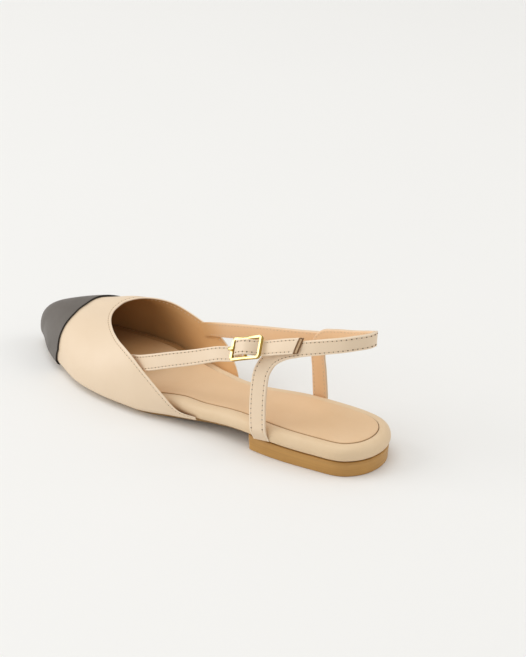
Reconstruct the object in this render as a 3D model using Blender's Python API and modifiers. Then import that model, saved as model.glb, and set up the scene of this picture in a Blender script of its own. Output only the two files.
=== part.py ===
"""Left slingback flat with a cap toe: one closed solid for each piece of the shoe.

The toe points along +X, +Y is the outer side of the foot and the floor is z = 0. Lengths are in
millimetres: a station from the back of the heel, a side offset from the heel's middle line and a height
above the floor. metres() puts such a point in the scene.
"""
import math
from collections import namedtuple

import bmesh
import bpy
from mathutils import Vector

# Driving dimensions
SHOE_LENGTH = 260.0
HEEL_BREAST = 71.0
HEEL_INSET = 0.8
HEEL_TAPER = 0.7
HEEL_EDGE_ROUND = 0.5
OUTSOLE_THICKNESS = 2.7
OUTSOLE_INSET = 6.0
OUTSOLE_TIP_INSET = 4.2
UPPER_WALL = 1.6
CAP_THICKNESS = 1.0
SOCK_THICKNESS = 0.8
STRAP_THICKNESS = 2.0
GAP = 0.3

# The origin is on the floor under the middle of the shoe's box
MIDDLE_STATION = 130.6
MIDDLE_SIDE = -0.8

# Plan of the lasted shoe at its widest, from the back of the heel to the tip of the toe
PlanRow = namedtuple("PlanRow", "station lateral medial")
PLAN = (
    PlanRow(0, 0, 0),
    PlanRow(3, 12.6, 12.6),
    PlanRow(12, 22.2, 22.0),
    PlanRow(30, 26.4, 25.4),
    PlanRow(60, 29.4, 22.0),
    PlanRow(90, 28.4, 15.4),
    PlanRow(120, 31.8, 20.8),
    PlanRow(150, 36.8, 31.6),
    PlanRow(175, 36.4, 37.6),
    PlanRow(197, 32.6, 37.8),
    PlanRow(216, 25.0, 34.6),
    PlanRow(235, 16.0, 28.0),
    PlanRow(250, 5.0, 18.8),
    PlanRow(256, 1.2, 12.4),
    PlanRow(260, -5.6, 5.6),
)

# Height of the lasted bottom: heel seat, arch, level tread under the ball, toe spring
BottomRow = namedtuple("BottomRow", "station height")
BOTTOM = (
    BottomRow(0, 9.2),
    BottomRow(30, 9.2),
    BottomRow(72, 9.8),
    BottomRow(100, 7.6),
    BottomRow(130, 4.2),
    BottomRow(150, 3.0),
    BottomRow(198, 3.0),
    BottomRow(230, 4.8),
    BottomRow(260, 8.6),
)

# Rim of the footbed, from its lower edge to the recess that takes the sock
RimRow = namedtuple("RimRow", "inset rise")
FOOTBED_RIM = (
    RimRow(2.2, 0.0),
    RimRow(0.6, 1.2),
    RimRow(0.0, 3.6),
    RimRow(0.5, 6.0),
    RimRow(1.9, 7.7),
    RimRow(4.0, 8.5),
    RimRow(6.3, 8.5),
    RimRow(6.6, 7.6),
)
RECESS_MIDDLE_RISE = 7.2
SOCK_MARGIN = 0.35
FOREPART_THICKNESS = 0.72
SLIMMING_STATIONS = (128, 165)
VAMP_CLEARANCE = 2.3
VAMP_CLEARANCE_STATIONS = (94, 124)
MARGIN_CLEARANCE = 2.0
MARGIN_CLEARANCE_STATIONS = (104, 122)
MIDDLE_LINE_INSET = 16.0
MIDDLE_LINE_TIP_INSET = 4.75
RIM_TIP_SHARE = 0.25
TOE_STATIONS = (222, 258)

# Ribs of the vamp, from the inner rear corner round the toe to the outer rear corner. Each leaves the edge
# of the sole at foot_station and ends on the topline; lean is its slope there, in degrees from level
RibRow = namedtuple("RibRow", "inner foot_station edge_station edge_side edge_height lean margin turn_in")
VAMP = (
    RibRow(True, 114, 114.4, -19.7, 10.3, 90, 1.8, 1.2),
    RibRow(True, 121, 119.9, -23.3, 17.6, 88, 4, 2.2),
    RibRow(True, 133, 132.6, -29.3, 26.9, 88, 7, 3),
    RibRow(True, 153, 153.3, -32.0, 34.2, 86, 8, 3),
    RibRow(True, 172, 172.5, -31.4, 39.6, 72, 8, 3),
    RibRow(True, 191, 186.0, -28.0, 41.0, 42, 8, 3),
    RibRow(True, 212, 195.5, -22.5, 40.2, 2, 7, 3),
    RibRow(True, 237, 201.0, -14.0, 38.2, -9, 5.5, 3),
    RibRow(True, 260, 199.5, -4.5, 36.9, 6, 4.5, 3),
    RibRow(False, 240, 192.5, 5.5, 36.3, 10, 5.5, 3),
    RibRow(False, 213, 181.0, 15.5, 35.6, 24, 7, 3),
    RibRow(False, 187, 168.0, 24.0, 35.6, 46, 8, 3),
    RibRow(False, 163, 155.0, 29.6, 33.4, 68, 8, 3),
    RibRow(False, 144, 143.0, 32.6, 27.6, 84, 8, 3),
    RibRow(False, 129, 128.4, 34.2, 18.8, 88, 6, 3),
    RibRow(False, 118, 118.0, 32.8, 10.8, 90, 3, 2.2),
    RibRow(False, 107, 106.8, 30.2, 9.2, 90, 1.8, 1.2),
)
VAMP_COLUMNS = 60
VAMP_ROWS = 18
SKIVED_COLUMNS = 7
SKIVED_SHARE = 0.3
MARGIN_SHARE = 0.12
TURN_IN_SHARE = 0.28
LOW_FULLNESS = 0.33
HIGH_FULLNESS = 0.40

# Rear edge of the toe cap in plan, from the inner side to the outer side
CapRow = namedtuple("CapRow", "side station")
CAP_EDGE = (
    CapRow(-60, 190.0),
    CapRow(-36, 207.0),
    CapRow(-28, 213.0),
    CapRow(-16, 220.0),
    CapRow(-6, 222.4),
    CapRow(6, 223.2),
    CapRow(14, 223.9),
    CapRow(19, 223.2),
    CapRow(22, 221.4),
    CapRow(25, 215.8),
    CapRow(60, 170.0),
)
CAP_RIBS = (0.32, 0.68)
CAP_LOW_EDGE = 0.19

# Middle lines of the straps. Facing is the plan bearing of the outer face: 90 outer side, 180 rear, 270 inner.
# Lean is how far that face is tipped upwards, in degrees
PathRow = namedtuple("PathRow", "station side height facing lean width")
SLING = (
    PathRow(60.4, 29.9, 9.9, 90, 0, 11.0),
    PathRow(60.9, 30.7, 13.2, 90, 0, 11.0),
    PathRow(61.4, 30.8, 16.0, 90, 0, 11.0),
    PathRow(62.4, 29.9, 20.0, 90, 2, 11.0),
    PathRow(64.4, 27.0, 33.0, 90, 10, 10.8),
    PathRow(65.4, 23.2, 46.0, 91, 20, 10.4),
    PathRow(62.6, 19.8, 54.2, 93, 27, 9.6),
    PathRow(55.6, 18.9, 60.4, 96, 28, 8.9),
    PathRow(45.6, 17.6, 65.2, 99, 24, 8.6),
    PathRow(30.0, 15.2, 70.6, 106, 8, 8.5),
    PathRow(14.6, 9.8, 75.0, 133, 3, 8.5),
    PathRow(8.2, 0.0, 75.6, 180, 3, 8.5),
    PathRow(13.6, -8.8, 71.2, 222, 3, 8.5),
    PathRow(30.0, -15.4, 64.4, 254, 4, 8.5),
    PathRow(44.6, -18.0, 60.0, 261, 6, 8.6),
    PathRow(52.4, -19.2, 57.0, 265, 8, 8.8),
    PathRow(57.2, -20.4, 51.6, 268, 8, 9.0),
    PathRow(59.0, -21.6, 45.0, 269, 6, 9.2),
    PathRow(59.2, -23.2, 33.0, 272, 3, 9.4),
    PathRow(58.8, -23.8, 20.0, 276, 0, 9.4),
    PathRow(58.4, -23.8, 14.5, 276, 0, 9.4),
    PathRow(58.2, -23.6, 10.0, 276, 0, 9.4),
)
OUTER_STRAP = (
    PathRow(161.0, 24.4, 25.3, 66, 14, 9.6),
    PathRow(150.0, 27.3, 29.2, 76, 18, 9.6),
    PathRow(140.0, 28.0, 33.2, 87, 20, 9.5),
    PathRow(128.0, 27.0, 37.8, 96, 24, 9.3),
    PathRow(112.0, 24.6, 43.4, 96, 29, 9.0),
    PathRow(97.0, 22.3, 49.1, 93, 34, 8.8),
    PathRow(82.8, 19.8, 53.6, 90, 39, 8.7),
    PathRow(80.7, 24.7, 58.8, 90, 39, 8.7),
    PathRow(75.8, 25.1, 61.1, 90, 39, 8.7),
    PathRow(65.8, 20.5, 61.2, 90, 38, 8.7),
    PathRow(58.0, 20.5, 64.0, 93, 34, 8.7),
    PathRow(50.4, 20.0, 66.7, 97, 30, 8.7),
    PathRow(43.2, 19.2, 68.9, 100, 27, 8.7),
)
INNER_STRAP = (
    PathRow(150.0, -28.4, 29.6, 272, 0, 9.2),
    PathRow(140.0, -27.4, 33.0, 266, 0, 9.2),
    PathRow(124.0, -25.8, 37.4, 262, 0, 9.2),
    PathRow(100.0, -23.6, 43.6, 262, 1, 9.0),
    PathRow(80.0, -22.7, 48.2, 263, 4, 8.8),
    PathRow(66.0, -23.1, 51.2, 265, 9, 8.7),
    PathRow(54.0, -22.7, 54.2, 265, 11, 8.7),
)
TIP_SLANT = -4.5
TIP_SHARES = (0.9, 1.0)

# Buckle of the outer strap: its place, its slope along the strap and how far its face is tipped upwards
BUCKLE_CENTRE = (75.4, 23.0, 59.4)
BUCKLE_SLOPE = 21.6
BUCKLE_LEAN = 39.5
BUCKLE_LENGTH = 21.6
BUCKLE_HEIGHT = 13.2
BUCKLE_BAR = 1.5
BUCKLE_DEPTH = 2.0
BUCKLE_ROUND = 0.4
PRONG_LENGTH = 4.2
PRONG_WIDTH = 1.7
PRONG_DEPTH = 1.3
PRONG_OVERHANG = 1.2

BEIGE = (0.80, 0.60, 0.42)
TAN = (0.68, 0.44, 0.27)
BLACK = (0.022, 0.020, 0.020)
BROWN = (0.33, 0.19, 0.085)
GOLD = (0.83, 0.58, 0.20)


def metres(station, side, height):
    """The scene position of a point given in the shoe's own millimetres."""
    return Vector((station - MIDDLE_STATION, side - MIDDLE_SIDE, height)) * 0.001


def smooth(knots, values, at):
    """A smooth curve through the values, level at each peak and trough."""
    last = len(knots) - 1
    at = min(max(at, knots[0]), knots[last])
    i = next(k for k in range(last) if at <= knots[k + 1])

    def slope(k):
        return (values[k + 1] - values[k]) / (knots[k + 1] - knots[k])

    def tangent(k):
        if k in (0, last):
            return slope(0 if k == 0 else last - 1)
        before, after = slope(k - 1), slope(k)
        left, right = knots[k] - knots[k - 1], knots[k + 1] - knots[k]
        return (before * right + after * left) / (left + right) if before * after > 0 else 0.0

    width = knots[i + 1] - knots[i]
    t = (at - knots[i]) / width
    rise = values[i + 1] - values[i]
    start, end = tangent(i) * width, tangent(i + 1) * width
    return values[i] + start * t + (3 * rise - 2 * start - end) * t**2 + (start + end - 2 * rise) * t**3


def ramp(stations, station):
    """0 before the first station, 1 after the second, easing between them."""
    t = min(max((station - stations[0]) / (stations[1] - stations[0]), 0.0), 1.0)
    return t * t * (3 - 2 * t)


def bottom(station):
    return smooth([row.station for row in BOTTOM], [row.height for row in BOTTOM], station)


def plan_angle(station):
    """Angle round the plan: 0 at the back of the heel, pi at the toe, so that both ends come out round."""
    return math.acos(1 - 2 * station / SHOE_LENGTH)


def plan_edge(angle):
    """Point of the plan's edge; angles past pi run back along the inner side."""
    outer = [plan_angle(row.station) for row in PLAN]
    knots = outer + [2 * math.pi - angle for angle in reversed(outer[:-1])]
    sides = [row.lateral for row in PLAN] + [-row.medial for row in reversed(PLAN[:-1])]
    angle %= 2 * math.pi
    return Vector((SHOE_LENGTH * (1 - math.cos(angle)) / 2, smooth(knots, sides, angle)))


def inward(angle):
    """Plan direction square to the edge, into the shoe."""
    step = 0.004
    along = (plan_edge(angle + step) - plan_edge(angle - step)).normalized()
    return Vector((along.y, -along.x))


def plan_point(angle, inset):
    return plan_edge(angle) + inward(angle) * inset


def narrowing_inset(inset, tip_inset):
    """An inset that narrows round the tip of the toe, where a wide one would cross itself."""
    def amount(angle):
        return inset + (tip_inset - inset) * ramp(TOE_STATIONS, plan_edge(angle).x)

    return amount


def material(name, colour, roughness, metallic=0.0):
    made = bpy.data.materials.new(name)
    made.use_nodes = True
    shader = made.node_tree.nodes["Principled BSDF"]
    shader.inputs["Base Color"].default_value = (*colour, 1.0)
    shader.inputs["Roughness"].default_value = roughness
    shader.inputs["Metallic"].default_value = metallic
    return made


def shaped_grid(columns, rows, place):
    """A grid whose points place(u, v) sets, with u and v from 0 to 1."""
    bm = bmesh.new()
    bmesh.ops.create_grid(bm, x_segments=columns, y_segments=rows, size=0.5)
    for vert in bm.verts:
        vert.co = place(vert.co.x + 0.5, vert.co.y + 0.5)
    return bm


def make_object(name, bm, finish, collection):
    mesh = bpy.data.meshes.new(name)
    bm.to_mesh(mesh)
    bm.free()
    mesh.materials.append(finish)
    mesh.shade_smooth()
    mesh.set_sharp_from_angle(angle=math.radians(35))
    piece = bpy.data.objects.new(name, mesh)
    collection.objects.link(piece)
    return piece


def thicken(piece, thickness, offset):
    """Gives an open surface its wall: offset -1 inwards, 1 outwards, 0 to both sides."""
    wall = piece.modifiers.new("wall", "SOLIDIFY")
    wall.thickness = thickness * 0.001
    wall.offset = offset
    wall.use_even_offset = True
    return piece


def round_edges(piece, radius, segments):
    bevel = piece.modifiers.new("rounded edges", "BEVEL")
    bevel.width = radius * 0.001
    bevel.segments = segments
    bevel.limit_method = "ANGLE"
    bevel.angle_limit = math.radians(50)
    return piece


def plate(first, last, half_count, rings):
    """A closed plate over the plan, from the first station to the last.

    Each ring is (inset, height function), from the underside to the top. An inset of None is the middle
    line, where the two sides of the ring meet and close the plate.
    """
    first_angle, last_angle = plan_angle(first), plan_angle(last)
    cut_ends = {}
    if first > 0:
        cut_ends[0] = first
    if last < SHOE_LENGTH:
        cut_ends[half_count] = last
    columns = 2 * half_count + 2
    middle_inset = narrowing_inset(MIDDLE_LINE_INSET, MIDDLE_LINE_TIP_INSET)

    def place(u, v):
        column = round(u * columns) % columns
        inset, height = rings[round(v * (len(rings) - 1))]
        inner = column > half_count
        step = columns - 1 - column if inner else column
        angle = first_angle + (last_angle - first_angle) * step / half_count
        if inset is None:
            sides = [plan_point(side, middle_inset(side)) for side in (angle, -angle)]
            point = (sides[0] + sides[1]) / 2
        else:
            point = plan_point(-angle if inner else angle, inset(angle) if callable(inset) else inset)
        station = cut_ends.get(step, point.x)
        return metres(station, point.y, height(station))

    bm = shaped_grid(columns, len(rings) - 1, place)
    bmesh.ops.remove_doubles(bm, verts=bm.verts, dist=1e-6)
    if bm.calc_volume(signed=True) < 0:
        bmesh.ops.reverse_faces(bm, faces=bm.faces)
    return bm


def make_heel(collection):
    def top(station):
        return bottom(station) - GAP

    def floor(station):
        return 0.0

    low_inset = HEEL_INSET + HEEL_TAPER
    rings = [(None, floor), (low_inset, floor), (HEEL_INSET, top), (None, top)]
    heel = make_object(
        "heel", plate(0, HEEL_BREAST, 22, rings), material("heel brown", BROWN, 0.55), collection
    )
    return round_edges(heel, HEEL_EDGE_ROUND, 2)


def make_outsole(collection):
    def top(station):
        return bottom(station) - GAP

    def tread(station):
        return bottom(station) - GAP - OUTSOLE_THICKNESS

    edge = narrowing_inset(OUTSOLE_INSET, OUTSOLE_TIP_INSET)
    rings = [(None, tread), (edge, tread), (edge, top), (None, top)]
    first = HEEL_BREAST + GAP
    return make_object(
        "outsole",
        plate(first, SHOE_LENGTH, 32, rings),
        material("outsole brown", BROWN, 0.6),
        collection,
    )


def footbed_height(rise):
    """Height of a line on the footbed; it is slimmer in the forepart and clears the turned-in margin."""
    def height(station):
        thickness = 1 - (1 - FOREPART_THICKNESS) * ramp(SLIMMING_STATIONS, station)
        lift = MARGIN_CLEARANCE * ramp(MARGIN_CLEARANCE_STATIONS, station)
        return bottom(station) + lift + rise * thickness

    return height


def footbed_inset(inset, further=0.0):
    """Inset of a line on the footbed, further in where the vamp's wall stands beside it."""
    narrowed = narrowing_inset(inset, inset * RIM_TIP_SHARE)

    def amount(angle):
        clearance = VAMP_CLEARANCE * ramp(VAMP_CLEARANCE_STATIONS, plan_edge(angle).x)
        return narrowed(angle) + clearance + further

    return amount


def make_footbed(collection):
    rings = [(None, footbed_height(0.0))]
    rings += [(footbed_inset(row.inset), footbed_height(row.rise)) for row in FOOTBED_RIM]
    rings += [(None, footbed_height(RECESS_MIDDLE_RISE))]
    return make_object(
        "footbed", plate(0, SHOE_LENGTH, 40, rings), material("beige rim leather", BEIGE, 0.5), collection
    )


def make_sock(collection):
    low_edge = FOOTBED_RIM[-1].rise + GAP
    low_middle = RECESS_MIDDLE_RISE + GAP
    edge = footbed_inset(FOOTBED_RIM[-1].inset, SOCK_MARGIN)
    rings = [
        (None, footbed_height(low_middle)),
        (edge, footbed_height(low_edge)),
        (edge, footbed_height(low_edge + SOCK_THICKNESS)),
        (None, footbed_height(low_middle + SOCK_THICKNESS)),
    ]
    return make_object(
        "sock", plate(0, SHOE_LENGTH, 40, rings), material("tan sock leather", TAN, 0.5), collection
    )


def vamp_rib(u):
    """The values of the vamp's table at a place round it, with the rib's foot as an angle of the plan."""
    knots = list(range(len(VAMP)))
    at = u * knots[-1]
    angles = [
        2 * math.pi - plan_angle(row.foot_station) if row.inner else plan_angle(row.foot_station)
        for row in VAMP
    ]
    angle = smooth(knots, angles, at)
    columns = ("edge_station", "edge_side", "edge_height", "lean", "margin", "turn_in")
    return angle, [smooth(knots, [getattr(row, column) for row in VAMP], at) for column in columns]


def vamp_point(u, v):
    """Point of the vamp's outer face: v runs from the margin under the shoe, round its edge, to the topline."""
    angle, (edge_station, edge_side, edge_height, lean, margin, turn_in) = vamp_rib(u)
    foot, into = plan_edge(angle), inward(angle)
    if v < MARGIN_SHARE:
        inset = margin + (turn_in - margin) * v / MARGIN_SHARE
        point = foot + into * inset
        return Vector((point.x, point.y, bottom(point.x)))
    if v < MARGIN_SHARE + TURN_IN_SHARE:
        turn = math.pi / 2 * (v - MARGIN_SHARE) / TURN_IN_SHARE
        point = foot + into * turn_in * (1 - math.sin(turn))
        return Vector((point.x, point.y, bottom(point.x) + turn_in * (1 - math.cos(turn))))
    t = (v - MARGIN_SHARE - TURN_IN_SHARE) / (1 - MARGIN_SHARE - TURN_IN_SHARE)
    start = Vector((foot.x, foot.y, bottom(foot.x) + turn_in))
    end = Vector((edge_station, edge_side, edge_height))
    reach = (end - start).length
    level = (end - start).to_2d() + into * 2
    level.normalize()
    slope = math.radians(lean)
    arrival = Vector((level.x * math.cos(slope), level.y * math.cos(slope), math.sin(slope)))
    low_handle = start + Vector((0, 0, 1)) * reach * LOW_FULLNESS
    high_handle = end - arrival * reach * HIGH_FULLNESS
    weights = ((1 - t) ** 3, 3 * t * (1 - t) ** 2, 3 * t**2 * (1 - t), t**3)
    return sum((p * w for p, w in zip((start, low_handle, high_handle, end), weights)), Vector((0, 0, 0)))


def raised_vamp_point(u, v, height):
    """Point at a height over the vamp's outer face."""
    step = 0.002
    along = vamp_point(u + step, v) - vamp_point(u - step, v)
    up = vamp_point(u, min(v + step, 1)) - vamp_point(u, min(v + step, 1) - 2 * step)
    return vamp_point(u, v) + along.cross(up).normalized() * height


def make_vamp(collection):
    """The lasted upper, skived thin towards its two rear corners."""
    bm = shaped_grid(VAMP_COLUMNS, VAMP_ROWS, lambda u, v: metres(*vamp_point(u, v)))
    vamp = make_object("vamp", bm, material("beige upper leather", BEIGE, 0.45), collection)
    skiving = vamp.vertex_groups.new(name="skiving")
    for vert in vamp.data.vertices:
        from_corner = min(vert.index % (VAMP_COLUMNS + 1), VAMP_COLUMNS - vert.index % (VAMP_COLUMNS + 1))
        weight = SKIVED_SHARE + (1 - SKIVED_SHARE) * ramp((0, SKIVED_COLUMNS), from_corner)
        skiving.add([vert.index], weight, "REPLACE")
    thicken(vamp, UPPER_WALL, -1).modifiers["wall"].vertex_group = skiving.name
    return vamp


def make_toe_cap(collection, cutters):
    """The vamp's own face, raised by a gap, given a wall and cut off behind the cap's edge."""
    def face(u, v):
        rib = CAP_RIBS[0] + (CAP_RIBS[1] - CAP_RIBS[0]) * u
        return metres(*raised_vamp_point(rib, CAP_LOW_EDGE + (1 - CAP_LOW_EDGE) * v, GAP))

    def cutter_floor(u, v):
        side = CAP_EDGE[0].side + (CAP_EDGE[-1].side - CAP_EDGE[0].side) * u
        edge = smooth([row.side for row in CAP_EDGE], [row.station for row in CAP_EDGE], side)
        return metres(edge + (SHOE_LENGTH + 20 - edge) * v, side, -10)

    finish = material("black cap leather", BLACK, 0.35)
    cap = thicken(make_object("toe_cap", shaped_grid(34, 18, face), finish, collection), CAP_THICKNESS, 1)
    bm = shaped_grid(24, 1, cutter_floor)
    raised = bmesh.ops.extrude_face_region(bm, geom=bm.faces[:])
    top = [item for item in raised["geom"] if isinstance(item, bmesh.types.BMVert)]
    bmesh.ops.translate(bm, verts=top, vec=(0, 0, 0.08))
    bmesh.ops.recalc_face_normals(bm, faces=bm.faces)
    cutter = make_object("toe_cap_cutter", bm, finish, cutters)
    cutter.hide_render = True
    cutter.display_type = "WIRE"
    cut = cap.modifiers.new("cap edge", "BOOLEAN")
    cut.operation = "INTERSECT"
    cut.object = cutter
    return cap


def strap_frame(rows, u):
    """Place on a strap's middle line, its directions along, across and out of its face, and its width."""
    knots = [0.0]
    for before, after in zip(rows, rows[1:]):
        knots.append(knots[-1] + math.dist(before[:3], after[:3]))

    def column(name, distance):
        return smooth(knots, [getattr(row, name) for row in rows], distance)

    def middle(distance):
        return Vector([column(name, distance) for name in ("station", "side", "height")])

    distance = u * knots[-1]
    bearing, lean = (math.radians(column(name, distance)) for name in ("facing", "lean"))
    face = Vector((math.cos(bearing) * math.cos(lean), math.sin(bearing) * math.cos(lean), math.sin(lean)))
    along = (middle(min(distance + 0.2, knots[-1])) - middle(max(distance - 0.2, 0))).normalized()
    across = along.cross(face).normalized()
    return middle(distance), along, across, across.cross(along), column("width", distance)


def make_strap(name, rows, columns, finish, collection, tip_slant=0.0):
    def place(u, v):
        middle, along, across, _, width = strap_frame(rows, u)
        slant = tip_slant * ramp(TIP_SHARES, u) * (v - 0.5)
        return metres(*(middle + across * width * (v - 0.5) + along * slant))

    strap = make_object(name, shaped_grid(columns, 2, place), finish, collection)
    return thicken(strap, STRAP_THICKNESS, 0)


def make_straps(collection):
    straps = (
        ("sling_strap", SLING, 84, 0.0),
        ("front_strap_lateral", OUTER_STRAP, 88, TIP_SLANT),
        ("front_strap_medial", INNER_STRAP, 24, 0.0),
    )
    for name, rows, columns, tip_slant in straps:
        leather = material(f"{name} leather", BEIGE, 0.45)
        make_strap(name, rows, columns, leather, collection, tip_slant)


def make_buckle(collection):
    """A flat frame with a centre bar that the strap is woven over, and the prong over its front bar."""
    seat = bpy.data.objects.new("buckle_seat", None)
    seat.location = metres(*BUCKLE_CENTRE)
    seat.rotation_euler = [math.radians(turn) for turn in (BUCKLE_LEAN - 90, BUCKLE_SLOPE, 0)]
    collection.objects.link(seat)
    half_length, half_height, half_bar = BUCKLE_LENGTH / 2, BUCKLE_HEIGHT / 2, BUCKLE_BAR / 2
    lengthwise = (-half_length, BUCKLE_BAR - half_length, -half_bar)
    lengthwise += tuple(-x for x in reversed(lengthwise))
    upright = (-half_height, BUCKLE_BAR - half_height)
    upright += tuple(-y for y in reversed(upright))

    def frame_corner(u, v):
        x, y = lengthwise[round(u * (len(lengthwise) - 1))], upright[round(v * (len(upright) - 1))]
        return Vector((x, y, 0)) * 0.001

    bm = shaped_grid(len(lengthwise) - 1, len(upright) - 1, frame_corner)
    windows = sorted(bm.faces, key=lambda face: face.calc_area())[-2:]
    bmesh.ops.delete(bm, geom=windows, context="FACES")
    frame = make_object("buckle_frame", bm, material("gold buckle", GOLD, 0.25, 1.0), collection)
    round_edges(thicken(frame, BUCKLE_DEPTH, 0), BUCKLE_ROUND, 2)

    bm = bmesh.new()
    bmesh.ops.create_cube(bm, size=0.001)
    bmesh.ops.scale(bm, verts=bm.verts, vec=(PRONG_LENGTH, PRONG_WIDTH, PRONG_DEPTH))
    middle = half_length + PRONG_OVERHANG - PRONG_LENGTH / 2
    above = (BUCKLE_DEPTH + PRONG_DEPTH) / 2 + GAP
    bmesh.ops.translate(bm, verts=bm.verts, vec=Vector((middle, 0, above)) * 0.001)
    prong = make_object("buckle_prong", bm, material("gold prong", GOLD, 0.25, 1.0), collection)
    round_edges(prong, BUCKLE_ROUND, 2)
    for piece in (frame, prong):
        piece.parent = seat


for old in list(bpy.data.objects):
    bpy.data.objects.remove(old, do_unlink=True)
shoe = bpy.data.collections.new("slingback_flat")
cutters = bpy.data.collections.new("cutters")
for collection in (shoe, cutters):
    bpy.context.scene.collection.children.link(collection)
make_heel(shoe)
make_outsole(shoe)
make_footbed(shoe)
make_sock(shoe)
make_vamp(shoe)
make_toe_cap(shoe, cutters)
make_straps(shoe)
make_buckle(shoe)
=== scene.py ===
"""Looks of a left slingback flat with a cap toe: leather, lining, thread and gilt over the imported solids.

The toe points along +X, +Y is the outer side of the foot and the floor is z = 0. Sizes are in the shoe's own
millimetres: a station from the back of the heel, a side offset from the heel's middle line and a height.
"""
import math
from collections import namedtuple
from functools import cache

import bmesh
import bpy
from mathutils import Matrix, Vector


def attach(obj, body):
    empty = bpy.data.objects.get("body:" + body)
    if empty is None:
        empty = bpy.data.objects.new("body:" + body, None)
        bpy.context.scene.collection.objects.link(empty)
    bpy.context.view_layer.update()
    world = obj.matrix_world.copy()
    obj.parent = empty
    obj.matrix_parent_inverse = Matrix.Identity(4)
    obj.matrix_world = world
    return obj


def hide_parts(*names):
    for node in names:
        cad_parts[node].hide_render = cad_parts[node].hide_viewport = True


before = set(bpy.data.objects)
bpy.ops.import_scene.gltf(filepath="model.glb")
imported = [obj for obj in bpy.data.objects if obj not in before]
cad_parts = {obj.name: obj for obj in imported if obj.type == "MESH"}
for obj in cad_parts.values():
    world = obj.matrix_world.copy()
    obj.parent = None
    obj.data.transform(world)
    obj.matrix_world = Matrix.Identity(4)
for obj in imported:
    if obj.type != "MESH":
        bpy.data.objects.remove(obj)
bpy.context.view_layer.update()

# Camera: the photograph's own viewpoint, behind the shoe on its outer side and about 25 degrees up.
# A long lens, as for product pictures, with no shift and no blur.
CAMERA_PLACE = Vector((-0.53251, 0.62902, 0.43671))
CAMERA_AIM = Vector((0.02942, -0.10091, 0.0))
CAMERA_LENS = 86.33
CAMERA_SENSOR = 36.0

lens = bpy.data.cameras.new("camera")
lens.lens, lens.sensor_width = CAMERA_LENS, CAMERA_SENSOR
camera = bpy.data.objects.new("camera", lens)
camera.location = CAMERA_PLACE
camera.rotation_euler = (CAMERA_AIM - CAMERA_PLACE).to_track_quat("-Z", "Y").to_euler()
bpy.context.scene.collection.objects.link(camera)
bpy.context.scene.camera = camera

# Studio: a pale sweep of painted board under the shoe, lit by a broad soft box overhead and a smaller one to
# each side of the camera's view. White walls fill the shadows, and the boxes are far off for an even board.
FLOOR_SIZE = 14.0
FLOOR_WHITE = (0.868, 0.868, 0.858, 1.0)
FLOOR_SHADE = (0.850, 0.850, 0.840, 1.0)
WALL_WHITE = (1.0, 0.985, 0.955, 1.0)
WALL_STRENGTH = 0.625
SoftBox = namedtuple("SoftBox", "name place size power")
SOFT_BOXES = (
    SoftBox("overhead soft box", Vector((1.0, 0.7, 5.9)), 5.0, 100.0),
    SoftBox("outer soft box", Vector((2.4, 1.8, 1.45)), 2.6, 40.0),
    SoftBox("inner soft box", Vector((-2.2, -1.6, 1.9)), 2.0, 14.0),
)


def add_node(tree, kind, values, **settings):
    """A shader node with its settings and input values; a value that is a socket is linked."""
    node = tree.nodes.new(f"ShaderNode{kind}")
    for key, value in settings.items():
        setattr(node, key, value)
    for key, value in values.items():
        if isinstance(value, bpy.types.NodeSocket):
            tree.links.new(value, node.inputs[key])
        else:
            node.inputs[key].default_value = value
    return node


def mixed(tree, share, first, second):
    """The socket of a colour that goes from the first to the second with a share."""
    values = {"Factor": share, "A": first, "B": second}
    return add_node(tree, "Mix", values, data_type="RGBA").outputs["Result"]


def new_material(name):
    """A material with its node tree and its Principled shader."""
    made = bpy.data.materials.new(name)
    made.use_nodes = True
    return made, made.node_tree, made.node_tree.nodes["Principled BSDF"]


bpy.context.scene.view_settings.view_transform = "Standard"
walls = bpy.data.worlds.new("white walls")
walls.use_nodes = True
walls.node_tree.nodes["Background"].inputs["Color"].default_value = WALL_WHITE
walls.node_tree.nodes["Background"].inputs["Strength"].default_value = WALL_STRENGTH
bpy.context.scene.world = walls
for box in SOFT_BOXES:
    lamp = bpy.data.lights.new(box.name, "AREA")
    lamp.shape, lamp.size, lamp.energy = "DISK", box.size, box.power
    light = bpy.data.objects.new(box.name, lamp)
    light.location = box.place
    light.rotation_euler = (-box.place).to_track_quat("-Z", "Y").to_euler()
    bpy.context.scene.collection.objects.link(light)

board, tree, shader = new_material("pale board")
at = add_node(tree, "TexCoord", {}).outputs["Object"]
paint = add_node(tree, "TexNoise", {"Vector": at, "Scale": 3.0})
tone = mixed(tree, paint.outputs["Fac"], FLOOR_WHITE, FLOOR_SHADE)
tree.links.new(tone, shader.inputs["Base Color"])
shader.inputs["Roughness"].default_value = 0.75
shader.inputs["Specular IOR Level"].default_value = 0.2
bm = bmesh.new()
bmesh.ops.create_grid(bm, x_segments=8, y_segments=8, size=FLOOR_SIZE / 2)
sweep = bpy.data.meshes.new("floor")
bm.to_mesh(sweep)
bm.free()
sweep.materials.append(board)
floor = bpy.data.objects.new("floor", sweep)
bpy.context.scene.collection.objects.link(floor)

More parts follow.
